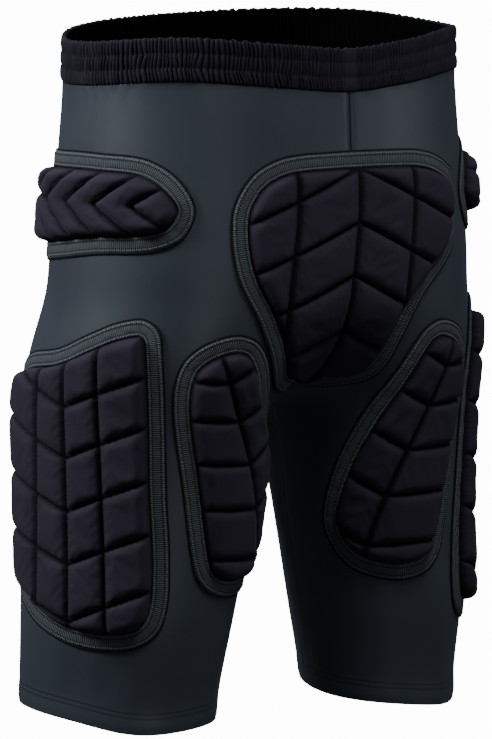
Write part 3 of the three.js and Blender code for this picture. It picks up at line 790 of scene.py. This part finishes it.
class SHORTS_OT_waistband(bpy.types.Operator):
    """Make the gathered elastic waistband"""

    bl_idname = "shorts.waistband"
    bl_label = "Waistband"

    def execute(self, context):
        chosen = context.scene.shorts
        material = material_of(band_elastic, tuple(chosen.band_colour))
        random = np.random.default_rng(SEED)
        columns = chosen.gathers * BAND_PER_GATHER
        turn = np.linspace(0, 2 * math.pi, columns, endpoint=False)
        pitch = random.uniform(*GATHER_WIDTHS, chosen.gathers)
        ends = np.concatenate([[0], np.cumsum(pitch)]) / pitch.sum() * 2 * math.pi
        phase = np.interp(turn, ends, np.arange(chosen.gathers + 1)) * 2 * math.pi
        waves, strength = (
            [WavyNoise(key + row, length) for row in range(BAND_ROWS + 2)]
            for key, length in (WANDER_NOISE, DEPTH_NOISE)
        )
        edge = WavyNoise(*RIM_NOISE)
        from_centre = np.degrees(np.abs((turn + math.pi) % (2 * math.pi) - math.pi))
        gathered = PLAIN_SHARE + (1 - PLAIN_SHARE) * smooth((from_centre - PLAIN_SPOT) / PLAIN_FADE)
        half = BAND_HEIGHT / 2
        row_height = BAND_HEIGHT / BAND_ROWS
        outside = [
            (-half + (row + step / BAND_ROW_STEPS) * row_height, row, step / BAND_ROW_STEPS)
            for row in range(BAND_ROWS) for step in range(BAND_ROW_STEPS)
        ] + [(half, BAND_ROWS - 1, 1.0)]
        lines, shade_by_line = [], []
        for z, row, share in outside:
            top_row = row == BAND_ROWS - 1
            swelling = math.sin(math.pi * share) ** ROW_ROUNDNESS if 0 < share < 1 else 0.0
            at_edge = (row == 0 and share == 0) or (top_row and share == 1)
            flat = BAND_EDGE if at_edge else BAND_SEAM
            blend = smooth(share)
            shift = waves[row](turn) * (1 - blend) + waves[row + 1](turn) * blend
            lean = 2 * math.pi * BAND_LEAN[row] + GATHER_SLANT * waves[row + 1](turn * SLANT_STRETCH + row)
            fold = 0.5 + 0.5 * np.cos(phase + GATHER_WANDER * shift + (share - 0.5) * lean)
            valley = fold ** GATHER_SHARPNESS * gathered
            depth = chosen.gather_depth * (STITCHED_DEPTH + (1 - STITCHED_DEPTH) * swelling)
            depth *= 1 + DEPTH_CHANGE * strength[row](turn)
            out = flat + (BAND_PUFF - flat) * swelling - valley * depth * (EDGE_DEPTH if at_edge else 1)
            rise = RIM_UNEVEN * edge(turn) + RIM_AT_GATHER * valley if top_row and share > RIM_FROM else 0
            lines.append((z + rise, out))
            # Painted shade: darkest in the gathers' valleys and along the pinched stitched rows.
            darkest, reach = STITCHED_ROW_SHADE
            shade_by_line.append(np.maximum(valley, darkest * bump(min(share, 1 - share), reach)))
        for step in range(BAND_INSIDE_STEPS + 1):
            z = half - INSIDE_MARGIN - (BAND_HEIGHT - 2 * INSIDE_MARGIN) * step / BAND_INSIDE_STEPS
            fold = 0.5 + 0.5 * np.cos(phase + GATHER_WANDER * waves[0](turn))
            lines.append((z, BAND_INSIDE - INSIDE_GATHER * fold))
            shade_by_line.append(np.full(columns, INNER_FACE_SHADE))
        direction = np.stack([np.sin(turn), -np.cos(turn), np.zeros_like(turn)], -1)
        grid = []
        for z, out in lines:
            base = leave(np.array([0, 0, float(np.mean(z))]), direction)
            points = raised(base, out)
            points[:, 2] = z + band_rise(base[:, 0], base[:, 1])
            grid.append(points)
        faces, _ = grid_faces(len(lines), columns, closed_rows=True, closed_columns=True)
        # The valley value carries the painted shade.
        values = {"valley": np.stack(shade_by_line)}
        piece = add_piece("waistband_casing", np.concatenate(grid), faces, material, values)
        # The inside rows take the near-black painted shade.
        piece.data.materials.append(material_of(shaded_inside_knit, SHADED_INSIDE_COLOUR))
        row = np.arange(len(faces)) // columns
        inside = (row >= len(outside)) & (row < len(lines) - 1)
        piece.data.polygons.foreach_set("material_index", inside.astype(np.int32))
        face_outwards(piece)
        dress(piece, "band_elastic", "waistband")
        return {"FINISHED"}


# Pads and their bindings. Outlines are the outer edge of the tape, as angle and height round the left leg,
# or as x and height from the front. Columns, nodes and the centre line are in millimetres: the columns run
# up a pad from columns_from, the nodes are the heights where cross lines meet the centre line, and slopes
# says how steeply they run on its two sides. height is that of a cell's crown over the shell, seat that of
# the underside's edge, groove a groove's depth, round the reach of a cell's rounding, and narrow makes the
# grooves of columns wider the smaller it is.

HIP_PITCH = 1.66
HIP_CENTRE_Z = -100
ALL_ALONG = -1e4
HIP_PAD = {
    "height": 14.0, "seat": 1.2, "groove": 7.5, "round": 9.0, "narrow": 0.9,
    "outline": [
        (-17, -63), (-47, -66), (-61, -80), (-68, -102), (-63, -123), (-52, -132), (-18, -137),
        (18, -144), (48, -147), (64, -134), (70, -107), (63, -82), (46, -68), (16, -64),
    ],
    "columns": [0], "columns_from": 34,
    "nodes": [HIP_PITCH * node for node in (-103, -82, -61, -40, -19.5, 1.5, 22.5, 43.5, 64.5, 85.5)],
    "slopes": (-HIP_PITCH, -HIP_PITCH),
}
THIGH_PAD = {
    "height": 13.0, "seat": 1.2, "groove": 7.0, "round": 8.0, "narrow": 0.75,
    "outline": [
        (2, -206), (-20, -193), (-37, -183), (-49, -181), (-56, -190), (-59, -212), (-64, -254),
        (-69, -313), (-74, -357), (-76, -394), (-72, -413), (-60, -423), (-37, -425), (-7, -419),
        (22, -403), (38, -384), (43, -350), (47, -300), (50, -250), (44, -222), (30, -213),
    ],
    "columns": [-28, 0, 27], "columns_from": ALL_ALONG,
    "nodes": [-478, -441, -404, -363, -324, -285, -248, -211, -174],
    "slopes": (0.42, 0.42),
    "centre": np.array([(-440, -19), (-363, -14), (-285, -10.5), (-174, -7)], float),
}
FRONT_THIGH_PAD = {
    "height": 10.5, "seat": 1.0, "groove": 6.0, "round": 7.5, "narrow": 0.7,
    "outline": [
        (-65, -228), (-67, -212), (-73, -201), (-81, -194.5), (-89, -192.5), (-97, -198), (-103.5, -211),
        (-110, -228), (-123, -256), (-138, -293), (-148, -326), (-151, -345), (-147, -364), (-138, -379),
        (-126, -386), (-112, -388.5), (-98, -383.5), (-89, -372), (-84, -354), (-80, -333), (-75, -303),
        (-69, -268), (-66, -246),
    ],
    "columns": [0], "columns_from": ALL_ALONG,
    "nodes": [-430, -395, -360, -323, -289, -256, -227, -197, -165],
    "slopes": (0.5, 0.05),
    "centre": np.array([
        (-430, -142), (-370, -130), (-318, -116), (-251, -95), (-204, -82), (-165, -76),
    ], float),
}
GROIN_PAD = {
    "height": 10.5, "seat": 1.0, "groove": 7.0, "round": 8.0, "narrow": 0.55,
    "outline": [
        (0, -63), (35, -64), (64, -66), (89, -73), (105, -84), (111, -100), (110, -123), (99, -146),
        (85, -159), (69, -173), (60, -188), (54, -205), (50, -221), (43, -234), (27, -240), (0, -242),
        (-28, -241), (-49, -236), (-58, -224), (-65, -210), (-72, -197), (-79, -183), (-87, -169),
        (-94, -154), (-98, -136), (-99, -116), (-97, -101), (-90, -86), (-79, -74), (-62, -66),
        (-46, -63.5), (-24, -63),
    ],
    "columns": [-52, 0, 52], "columns_from": ALL_ALONG,
    "nodes": [-254, -222, -190, -153, -115, -76, -40],
    "slopes": (-0.42, -0.45),
    "centre": np.array([(-216, -5), (-160, -4.5), (-135, -2), (-112, 1), (-82, 2.5)], float),
}


def on_thigh(pad):
    """Ways between places on a thigh pad, in millimetres across and up, and the surface."""
    def radius(z):
        middle = round_leg(along(pad["centre"], 1, z), z)
        return np.hypot(middle[..., 0] - along(LEG, LEG_X, z), middle[..., 1] - along(LEG, LEG_Y, z))

    def place(across, z):
        return round_leg(along(pad["centre"], 1, z) + np.degrees(across / radius(z)), z)

    def back(points):
        z = points[..., 2]
        turn = (leg_angle(points) - along(pad["centre"], 1, z) + 180) % 360 - 180
        return np.radians(turn) * radius(z), z

    return place, back


def on_hip(pad):
    """Ways between places on a hip pad, up from its centre line and round the hip, and the surface."""
    def place(up, around):
        return round_leg(around / HIP_PITCH, HIP_CENTRE_Z + up)

    def back(points):
        return points[..., 2] - HIP_CENTRE_Z, leg_angle(points) * HIP_PITCH

    return place, back


def on_front(pad):
    """Ways between places on the groin pad, across from its centre line and up, and the surface."""
    def place(across, z):
        return from_front(across + along(pad["centre"], 1, z), z)

    def back(points):
        z = points[..., 2]
        return points[..., 0] - along(pad["centre"], 1, z), z

    return place, back


# A curve through points: power of the distances that weigh its slopes, and steps between two points
CURVE_POWER = 0.5
CURVE_STEPS = 24


def slope_through(before, middle, after, gap_before, gap_after):
    """Slope of a smooth curve at the middle one of three points."""
    straight = (after - before) / (gap_before + gap_after)
    return (middle - before) / gap_before - straight + (after - middle) / gap_after


def spaced_loop(corners, count):
    """A closed smooth curve through points, evenly spaced, and its length."""
    corners = np.asarray(corners)
    total = len(corners)
    pieces = []
    for i in range(total):
        before, start, end, after = four = [corners[(i + step) % total] for step in (-1, 0, 1, 2)]
        gaps = [max(np.linalg.norm(b - a), TINY) ** CURVE_POWER for a, b in zip(four, four[1:])]
        first = slope_through(before, start, end, *gaps[:2]) * gaps[1]
        last = slope_through(start, end, after, *gaps[1:]) * gaps[1]
        t = np.linspace(0, 1, CURVE_STEPS, endpoint=False)[:, None]
        start_part = (2 * t - 3) * t * t + 1
        bend = ((t - 2) * t + 1) * t * first + (t - 1) * t * t * last
        pieces.append(start * start_part + end * (1 - start_part) + bend)
    curve = np.concatenate(pieces)
    steps = np.linalg.norm(np.roll(curve, -1, 0) - curve, axis=1)
    run = np.concatenate([[0], np.cumsum(steps)])
    wanted = np.linspace(0, run[-1], count, endpoint=False)
    closed = np.concatenate([curve, curve[:1]])
    return np.stack([np.interp(wanted, run, closed[:, axis]) for axis in range(3)], -1), run[-1]


def inset(loop, width, seat):
    """A loop on the surface, moved inwards along it, with rounder corners the further it is moved."""
    tangent = np.roll(loop, -1, 0) - np.roll(loop, 1, 0)
    tangent /= np.linalg.norm(tangent, axis=1, keepdims=True)
    inwards = np.cross(normals(loop), tangent)
    inwards /= np.linalg.norm(inwards, axis=1, keepdims=True)
    sign = np.sign(np.sum(inwards * (loop.mean(0) - loop)))
    moved = loop + inwards * sign * width
    for _ in range(round(width)):
        moved = (np.roll(moved, 1, 0) + moved + np.roll(moved, -1, 0)) / 3
    return seat(moved)


TAPE_STEP = 1.9
# Across the tape: distance from its outer edge, and height over the shell
TAPE_PROFILE = [
    (0.0, 0.3), (0.0, 1.1), (0.5, 1.5), (1.1, 1.4), (1.6, 1.1), (2.1, 1.9), (2.9, 2.2), (3.7, 2.1),
    (4.2, 1.9), (4.8, 2.1), (7.2, 2.2), (9.4, 2.15), (10.0, 1.95), (10.6, 2.2), (11.5, 2.35),
    (12.6, 2.0), (13.0, 0.5),
]
# Heights above which the profile's points rise with the tape, and wobble, and the size of the wobble
RISING_FROM = 0.6
WOBBLING_FROM = 2
WOBBLE = 0.12
WOBBLE_PITCH = 14.0
TAPE_NOISE_KEY = 70
LENGTH_CHECK_POINTS = 8


def make_binding(name, pad, seat, place_corner, material, rise=0.0):
    """The tape round one pad."""
    corners = place_corner(*np.array(pad["outline"], float).T)
    _, length = spaced_loop(corners, LENGTH_CHECK_POINTS)
    count = int(length / TAPE_STEP)
    outer = seat(spaced_loop(corners, count)[0])
    run = np.linspace(0, length, count + 1)
    wobble = WavyNoise(len(name) + TAPE_NOISE_KEY, WOBBLE_PITCH)(run[:-1]) * WOBBLE
    rows = []
    for width, height in TAPE_PROFILE:
        line = inset(outer, width, seat) if width else outer
        rows.append(raised(line, height + rise * (height > RISING_FROM) + wobble * (height > WOBBLING_FROM)))
    faces, corner_index = grid_faces(len(rows), count, closed_rows=True, closed_columns=True)
    across = np.array([width for width, _ in TAPE_PROFILE] + [0.0])
    places = np.stack([run[corner_index[..., 1]], across[corner_index[..., 0]]], -1)
    piece = add_piece(name, np.concatenate(rows), faces, material, None, places)
    face_outwards(piece)
    return piece


PAD_STEP = 1.7
LINE_STEP = 1.0
LINE_CLEARANCE = 1.2
PAD_INSET = 13.3
RIM_ROUND = 9.0
RIM_HEIGHT = 2.4
RIM_SHAPE = 2.3
# Cross lines and columns meet in a groove that is the blend of both, by this power
GROOVE_BLEND = -3
NO_GROOVE = 1e-3
LEAST_SPACING = 0.5
# Pucker beside a sewn line: height, pitch, place and width, and how far from the rim it starts
PUCKER = 0.12
PUCKER_PITCH = 6.0
PUCKER_PLACE = 2.5
PUCKER_WIDTH = 2.5
PUCKER_SLANT = 0.7
PUCKER_FADE = 6
PAD_NOISE_KEY = 90
UNDER_DROP = 0.8
RIM_SHADE = 0.6
HELD_REACH = 4.0


def quarter(distance, reach):
    """Height share of a rounded edge: zero at the line, one past its reach."""
    t = np.clip(distance / reach, 0, 1)
    return np.sqrt(np.maximum(1 - (1 - t) ** RIM_SHAPE, 0))


def distance_to_loop(points, loop):
    """Distance of flat points to a closed line."""
    nearest = np.full(len(points), 1e9)
    for start, end in zip(loop, np.roll(loop, -1, 0)):
        side = end - start
        share = np.clip(((points - start) @ side) / (side @ side), 0, 1)
        away = np.hypot(*(points - start - share[:, None] * side).T)
        nearest = np.minimum(nearest, away)
    return nearest


def slope_at(pad, u):
    """How steeply a pad's cross lines run at a place across it."""
    return np.where(u < 0, *pad["slopes"])


def groove_distance(pad, u, v):
    """Distance to the nearest sewn line along the pad and across it."""
    to_column = np.min(np.abs(np.subtract.outer(u, pad["columns"])), axis=1)
    to_column = np.hypot(to_column, np.maximum(pad["columns_from"] - v, 0))
    slope = slope_at(pad, u)
    offset = np.subtract.outer(v - slope * np.abs(u), pad["nodes"])
    to_line = np.min(np.abs(offset), axis=1)
    return to_column, to_line / np.sqrt(1 + slope ** 2)


def pad_plan(pad, loop):
    """Flat points inside a pad's outline, with rows of points along the sewn lines, and their triangles."""
    low, high = loop.min(0), loop.max(0)
    ways = [np.arange(start, end, PAD_STEP) for start, end in zip(low, high)]
    grid = np.stack(np.meshgrid(*ways), -1)
    grid[1::2, :, 0] += PAD_STEP / 2
    grid = grid.reshape(-1, 2)
    near = np.minimum(*groove_distance(pad, *grid.T))
    grid = grid[near > LINE_CLEARANCE]
    v = np.arange(max(low[1], pad["columns_from"]), high[1], LINE_STEP)
    lines = [np.stack([np.full_like(v, column), v], -1) for column in pad["columns"]]
    u = np.arange(low[0], high[0], LINE_STEP)
    for node in pad["nodes"]:
        lines.append(np.stack([u, node + slope_at(pad, u) * np.abs(u)], -1))
    points = np.concatenate([grid] + lines)
    inside = np.zeros(len(points), bool)
    for (x0, y0), (x1, y1) in zip(loop, np.roll(loop, -1, 0)):
        crosses = (y0 > points[:, 1]) != (y1 > points[:, 1])
        inside ^= crosses & (points[:, 0] < (x1 - x0) * (points[:, 1] - y0) / (y1 - y0 + 1e-12) + x0)
    points = points[inside]
    points = points[distance_to_loop(points, loop) > PAD_STEP * LEAST_SPACING]
    border = len(loop)
    edges = [(i, (i + 1) % border) for i in range(border)]
    plan = delaunay_2d_cdt(
        [Vector(point) for point in np.concatenate([loop, points])], edges, [], 1, 1e-6)
    return np.array([tuple(point) for point in plan[0]]), np.array(plan[2])


def make_pad(name, pad, seat, place_corner, ways, material):
    """One quilted pad: rounded foam cells between sewn lines, closed underneath."""
    place, back = ways
    corners = place_corner(*np.array(pad["outline"], float).T)
    _, length = spaced_loop(corners, LENGTH_CHECK_POINTS)
    outer = seat(spaced_loop(corners, int(length / PAD_STEP))[0])
    rim = inset(outer, PAD_INSET, seat)
    loop = np.stack(back(rim), -1)
    plan, triangles = pad_plan(pad, loop)
    u, v = plan.T
    to_column, to_line = groove_distance(pad, u, v)
    to_groove = sum(
        np.maximum(distance, NO_GROOVE) ** GROOVE_BLEND for distance in (to_column * pad["narrow"], to_line)
    ) ** (1 / GROOVE_BLEND)
    to_rim = distance_to_loop(plan, loop)
    crown = pad["height"] - pad["groove"] + (pad["groove"] - SWELL_ROOM) * quarter(to_groove, pad["round"])
    height = RIM_HEIGHT + (crown - RIM_HEIGHT) * quarter(to_rim, RIM_ROUND)
    pucker = WavyNoise(len(name) + PAD_NOISE_KEY, PUCKER_PITCH)(u + PUCKER_SLANT * v)
    height += PUCKER * pucker * bump(to_groove - PUCKER_PLACE, PUCKER_WIDTH) * smooth(to_rim / PUCKER_FADE)
    base = place(u, v)
    top = raised(base, height)
    under = raised(base, pad["seat"] - UNDER_DROP)
    count = len(plan)
    sides = {}
    for a, b, c in triangles:
        for start, end in ((a, b), (b, c), (c, a)):
            if (end, start) in sides:
                del sides[(end, start)]
            else:
                sides[(start, end)] = True
    walls = [(end, start, start + count) for start, end in sides]
    walls += [(end, start + count, end + count) for start, end in sides]
    faces = np.concatenate([triangles, triangles[:, ::-1] + count, walls])
    values = {
        # The groove value carries the painted shade of the grooves, the rim and the underside.
        "groove": np.concatenate([np.minimum(to_groove, to_rim + RIM_SHADE), np.zeros(count)]),
        "held": np.concatenate([1 - smooth(np.minimum(to_groove, to_rim) / HELD_REACH), np.ones(count)]),
    }
    piece = add_piece(name, np.concatenate([top, under]), faces, material, values)
    face_outwards(piece)
    return piece


SWELL_FRAMES = 20
SWELL_CAP = 1.6
SWELL_ROOM = 1.0
PIN_LEVELS = 12
# The cover of the foam as cloth
FOAM_COVER = {
    "quality": 6, "mass": 0.15, "air_damping": 4.0, "tension_stiffness": 12.0,
    "compression_stiffness": 12.0, "shear_stiffness": 6.0, "bending_stiffness": 2.0, "shrink_min": -0.008,
    "use_pressure": True,
}


def swell(piece, pressure):
    """Swells a pad's cells between its sewn lines by cloth simulation, and caps how far each point moves."""
    mesh = piece.data
    held = np.zeros(len(mesh.vertices))
    mesh.attributes["held"].data.foreach_get("value", held)
    before = np.zeros(len(held) * 3)
    mesh.vertices.foreach_get("co", before)
    sewn = piece.vertex_groups.new(name="sewn")
    level = np.round(held * PIN_LEVELS).astype(int)
    for pinned in range(1, PIN_LEVELS + 1):
        sewn.add(np.flatnonzero(level == pinned).tolist(), pinned / PIN_LEVELS, "REPLACE")
    select_only(piece)
    cloth = piece.modifiers.new("Swelling", "CLOTH")
    for key, value in FOAM_COVER.items():
        setattr(cloth.settings, key, value)
    cloth.settings.vertex_group_mass = sewn.name
    cloth.settings.uniform_pressure_force = pressure
    cloth.settings.effector_weights.gravity = 0
    cloth.collision_settings.use_collision = False
    cloth.point_cache.frame_end = SWELL_FRAMES
    for frame_number in range(1, SWELL_FRAMES + 1):
        bpy.context.scene.frame_set(frame_number)
    bpy.ops.object.modifier_apply(modifier=cloth.name)
    bpy.context.scene.frame_set(1)
    piece.vertex_groups.clear()
    before = before.reshape(-1, 3)
    after = np.zeros(before.size)
    mesh.vertices.foreach_get("co", after)
    moved = after.reshape(-1, 3) - before
    far = np.linalg.norm(moved, axis=1, keepdims=True)
    cap = SWELL_CAP * MM
    moved *= np.tanh(far / cap) * cap / np.maximum(far, TINY * MM)
    mesh.vertices.foreach_set("co", (before + moved).ravel())
    mesh.update()
    print(f"{piece.name} swelled by up to {far.max() / MM:.2f} mm, mean {far.mean() / MM:.2f}")


# Kind, table, the way back onto the surface, outline's places, lattice's places, and rise of the tape
PADS = [
    ("groin", GROIN_PAD, front_seat, from_front, on_front, 0.6),
    ("hip", HIP_PAD, leg_seat, round_leg, on_hip, 0.0),
    ("thigh", THIGH_PAD, leg_seat, round_leg, on_thigh, 0.0),
    ("front_thigh", FRONT_THIGH_PAD, leg_seat, round_leg, on_thigh, 0.0),
]


def sides_of(kind):
    """How the names of a kind's pads begin: the groin pad is one, the others are pairs."""
    return [""] if kind == "groin" else ["left_", "right_"]


class SHORTS_OT_bindings(bpy.types.Operator):
    """Make the tapes round the pads"""

    bl_idname = "shorts.bindings"
    bl_label = "Bindings"

    def execute(self, context):
        chosen = context.scene.shorts
        material = material_of(binding_tape, tuple(chosen.tape_colour), chosen.rib_pitch)
        for kind, pad, seat, place_corner, _, rise in PADS:
            sides = sides_of(kind)
            piece = make_binding(f"{sides[0]}{kind}_tape", pad, seat, place_corner, material, rise)
            dress(piece, "binding_tape", f"{sides[0]}{kind}_binding")
            for side in sides[1:]:
                dress(mirrored(piece, f"{side}{kind}_tape"), "binding_tape", f"{side}{kind}_binding")
        return {"FINISHED"}


class SHORTS_OT_pads(bpy.types.Operator):
    """Make the quilted foam pads"""

    bl_idname = "shorts.pads"
    bl_label = "Pads"

    def execute(self, context):
        chosen = context.scene.shorts
        material = material_of(pad_knit, tuple(chosen.pad_colour))
        for kind, pad, seat, place_corner, ways, _ in PADS:
            sides = sides_of(kind)
            pieces = [make_pad(f"{sides[0]}{kind}_cells", pad, seat, place_corner, ways(pad), material)]
            swell(pieces[0], chosen.swelling)
            pieces += [mirrored(pieces[0], f"{side}{kind}_cells") for side in sides[1:]]
            for side, piece in zip(sides, pieces):
                dress(piece, "pad_knit", f"{side}{kind}_pad")
        return {"FINISHED"}


# The stage

VIEW_AZIMUTH = -37
VIEW_ELEVATION = 6.5
VIEW_DISTANCE = 8.0
VIEW_REACH = 200.0
VIEW_TARGET = Vector((0, 0, -0.240))
VIEW_SCALE = 0.735 * MM
IMAGE_SIZE = (492, 739)
IMAGE_CENTRE = (255.5, 378.4)
SENSOR = 36.0
FLOOR_Z = -0.500
FLOOR_SIZE = 80.0
# Lights: azimuth and elevation of where each stands, distance, size in metres, power in watts
LIGHTS = {
    "key": (-112, 34, 2.0, 0.7, 41.0),
    "front": (-4, 58, 1.7, 0.6, 16.0),
    "low": (-22, -7, 2.4, 0.5, 8.0),
    "side": (52, 10, 2.4, 0.8, 5.0),
    "back": (165, 35, 2.4, 1.0, 12.0),
}
LIGHT_COLOUR = (0.84, 0.92, 1.0)
WORLD_STRENGTH = 0.05
FLOOR_GLOW = 14.0


def bearing(azimuth, elevation):
    """Direction from the object towards a stand at an azimuth and elevation in degrees."""
    turn, lift = math.radians(azimuth), math.radians(elevation)
    return Vector((math.sin(turn) * math.cos(lift), -math.cos(turn) * math.cos(lift), math.sin(lift)))


def aim(thing, place, target):
    """Puts a light or camera at a place and turns it to a target."""
    thing.location = place
    thing.rotation_mode = "QUATERNION"
    thing.rotation_quaternion = (target - place).to_track_quat("-Z", "Y")


class SHORTS_OT_stage(bpy.types.Operator):
    """Make the floor, the lights and the camera"""

    bl_idname = "shorts.stage"
    bl_label = "Stage"

    def execute(self, context):
        scene = context.scene
        bpy.ops.object.select_all(action="DESELECT")
        bpy.ops.mesh.primitive_plane_add(size=FLOOR_SIZE, location=(0, 0, FLOOR_Z))
        floor = context.object
        floor.name = "studio_floor"
        floor.data.materials.append(material_of(paper_floor, tuple(scene.shorts.floor_colour)))
        floor.visible_diffuse = False
        floor.visible_glossy = False
        for name, (azimuth, elevation, distance, size, power) in LIGHTS.items():
            lamp = bpy.data.lights.new(f"{name}_light", "AREA")
            lamp.shape = "DISK"
            lamp.size = size
            lamp.energy = power
            lamp.color = LIGHT_COLOUR
            light = bpy.data.objects.new(lamp.name, lamp)
            scene.collection.objects.link(light)
            aim(light, VIEW_TARGET + bearing(azimuth, elevation) * distance, VIEW_TARGET)
        world = bpy.data.worlds.new("studio")
        world.use_nodes = True
        world.node_tree.nodes["Background"].inputs["Strength"].default_value = WORLD_STRENGTH
        world.node_tree.nodes["Background"].inputs["Color"].default_value = (*LIGHT_COLOUR, 1)
        scene.world = world
        camera = bpy.data.cameras.new("photo_camera")
        camera.sensor_width = SENSOR
        camera.lens = VIEW_DISTANCE / VIEW_SCALE * SENSOR / IMAGE_SIZE[1]
        camera.shift_x = (IMAGE_SIZE[0] / 2 - IMAGE_CENTRE[0]) / IMAGE_SIZE[1]
        camera.shift_y = (IMAGE_CENTRE[1] - IMAGE_SIZE[1] / 2) / IMAGE_SIZE[1]
        camera.clip_end = VIEW_REACH
        stand = bpy.data.objects.new("photo_camera", camera)
        scene.collection.objects.link(stand)
        aim(stand, VIEW_TARGET + bearing(VIEW_AZIMUTH, VIEW_ELEVATION) * VIEW_DISTANCE, VIEW_TARGET)
        scene.camera = stand
        return {"FINISHED"}


OPERATORS = (SHORTS_OT_shell, SHORTS_OT_waistband, SHORTS_OT_bindings, SHORTS_OT_pads, SHORTS_OT_stage)


class SHORTS_PT_sidebar(bpy.types.Panel):
    """The pieces of the shorts and their settings"""

    bl_idname = "SHORTS_PT_sidebar"
    bl_label = "Padded shorts"
    bl_space_type = "VIEW_3D"
    bl_region_type = "UI"
    bl_category = "Shorts"

    def draw(self, context):
        for name in ShortsSettings.__annotations__:
            self.layout.prop(context.scene.shorts, name)
        for operator in OPERATORS:
            self.layout.operator(operator.bl_idname)


CLASSES = (ShortsSettings, *OPERATORS, SHORTS_PT_sidebar)


def register():
    for each in CLASSES:
        bpy.utils.register_class(each)
    bpy.types.Scene.shorts = PointerProperty(type=ShortsSettings)


def unregister():
    del bpy.types.Scene.shorts
    for each in reversed(CLASSES):
        bpy.utils.unregister_class(each)


def main():
    """Makes every piece and the stage."""
    register()
    for operator in OPERATORS:
        group, name = operator.bl_idname.split(".")
        getattr(getattr(bpy.ops, group), name)()
    bpy.context.view_layer.update()


if __name__ == "__main__":
    main()
